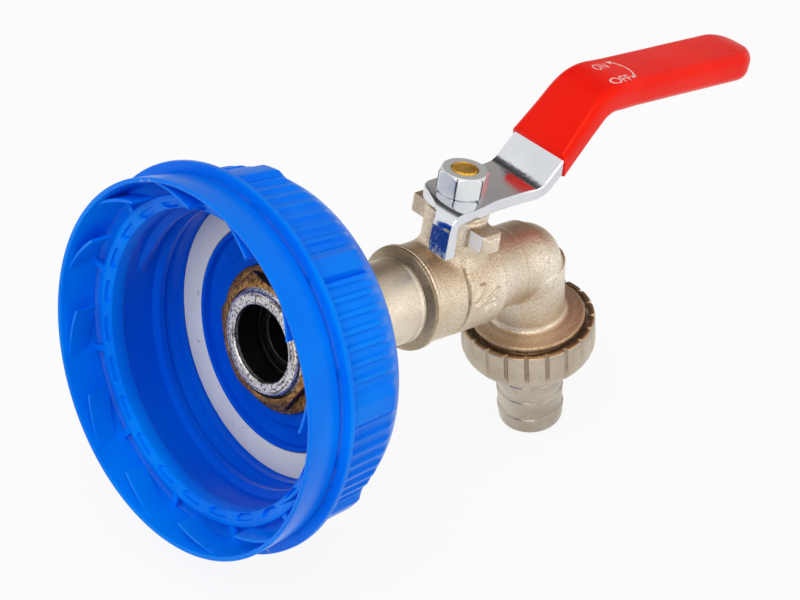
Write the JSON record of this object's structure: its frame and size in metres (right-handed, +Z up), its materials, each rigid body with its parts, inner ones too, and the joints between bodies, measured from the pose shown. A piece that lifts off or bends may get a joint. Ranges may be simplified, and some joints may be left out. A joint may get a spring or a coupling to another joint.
{
  "type": "jerrycan tap cap",
  "caption": "Jerrycan screw cap with tamper ring and a ball tap through its roof: lever valve, elbow, union nut and barbed hose tail.",
  "frame": {"origin": "centre of the cap's threaded mouth, in the plane of the mouth's lip", "axes": "+X along the tap, away from the jerrycan; +Z up the valve's stem; +Y to the left when looking along +X"},
  "size_m": [0.1787, 0.0912, 0.0981],
  "materials": {
    "cap_plastic": "injection-moulded polyethylene, soft sheen",
    "gasket_plastic": "white polyethylene foam ring, smooth",
    "plain_brass": "dull cast brass",
    "grey_brass": "worn nickel over brass",
    "nickel": "satin nickel plate over blasted brass",
    "nickel_turned": "satin nickel plate over turned brass",
    "chromed_steel": "bright chrome or zinc plate",
    "chromed_ball": "polished chrome",
    "red_vinyl": "dipped vinyl, glossy",
    "stem_brass": "turned brass",
    "black_rubber": "moulded rubber",
    "seat_white": "white seat plastic",
    "label_blue": "blue film, bare"
  },
  "bodies": {
    "root": {"cap_shell": "cap_plastic", "tamper_ring": "cap_plastic", "neck_gasket": "gasket_plastic", "reducing_bush": "grey_brass", "bush_backnut": "plain_brass", "roof_washer": "black_rubber", "inlet_piece": "nickel", "body_seal": "black_rubber", "valve_body": "nickel", "seat_inlet": "seat_white", "seat_outlet": "seat_white"},
    "handle": {"ball": "chromed_ball", "valve_stem": "stem_brass", "stem_thrust_washer": "seat_white", "stem_o_rings": "black_rubber", "lever_plate": "chromed_steel", "grip_sleeve": "red_vinyl", "handle_nut": "chromed_steel", "stop_tab_label": "label_blue"},
    "tail": {"hose_tail": "nickel_turned", "tail_washer": "black_rubber"},
    "union": {"union_nut": "nickel"}
  },
  "joints": [
    {"name": "handle_turn", "type": "hinge", "parent": "root", "child": "handle", "pos_m": [0.074, 0, 0.024], "axis": [0, 0, 1], "range_deg": [-90, 0]},
    {"name": "tail_slide", "type": "slide", "parent": "root", "child": "tail", "axis": [0.2689, 0, -0.9632], "range_m": [0, 0.0109]},
    {"name": "union_spin", "type": "hinge", "parent": "tail", "child": "union", "pos_m": [0.10855, 0, -0.02312], "axis": [0.2689, 0, -0.9632], "range_deg": [0, 2160]}
  ],
  "couplings": [
    {"joint": "tail_slide", "follows": "union_spin", "m_per_rad": 0.00028871}
  ]
}
